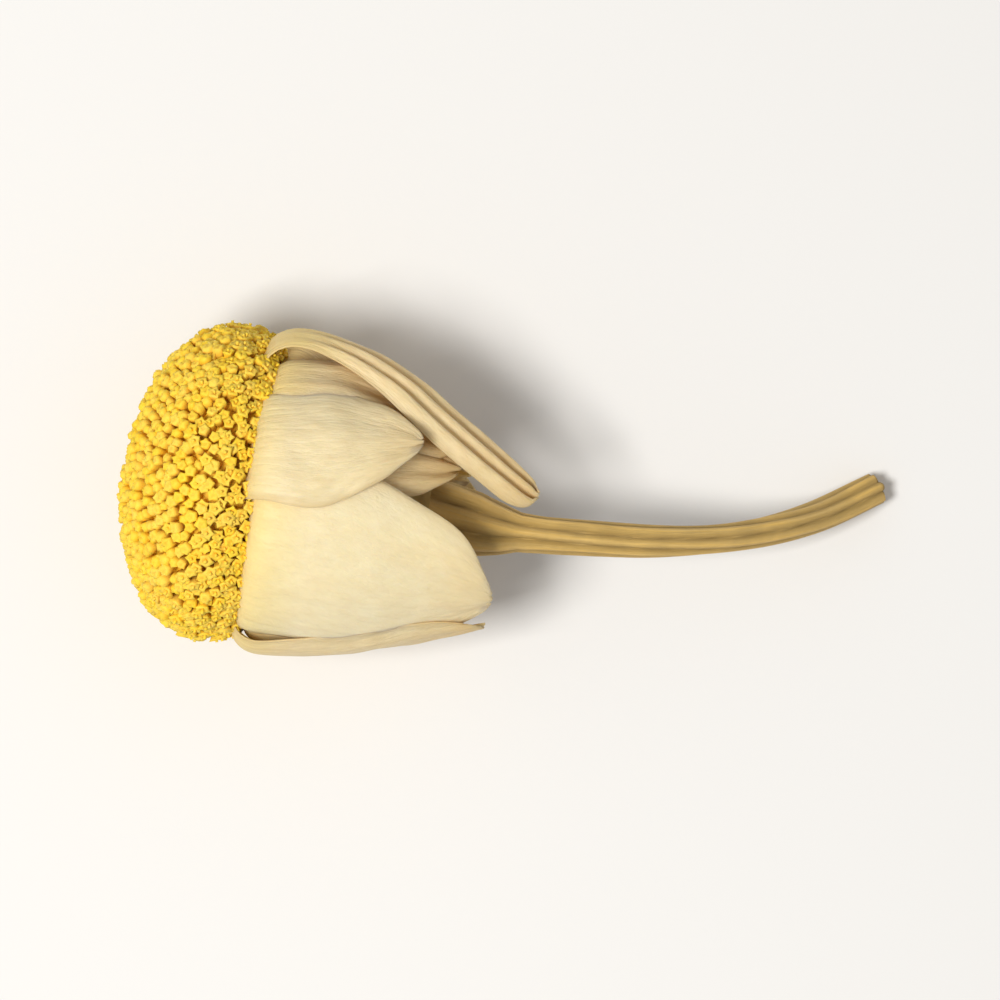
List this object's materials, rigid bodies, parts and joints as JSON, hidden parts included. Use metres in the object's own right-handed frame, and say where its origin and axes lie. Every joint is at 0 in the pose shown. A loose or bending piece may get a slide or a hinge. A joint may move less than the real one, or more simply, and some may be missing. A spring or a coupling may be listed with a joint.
{
  "type": "dried chamomile flower head",
  "caption": "Dried chamomile flower head lying on its side: a yellow dome of florets, cream petals folded back over a leafy cup, and a thin bent stalk.",
  "frame": {"origin": "on the flat spot that the head rests on, under the folded-back petals", "axes": "+X along the stalk, away from the yellow disc; +Y up in the picture; +Z up, away from the ground"},
  "size_m": [0.0176, 0.0077, 0.0075],
  "materials": {
    "disc_florets": "matte",
    "ray_petals": "matte",
    "involucre": "matte",
    "stalk": "matte"
  },
  "bodies": {
    "root": {"disc_florets": "disc_florets", "ray_petals": "ray_petals", "involucre": "involucre", "stalk": "stalk"}
  },
  "joints": []
}
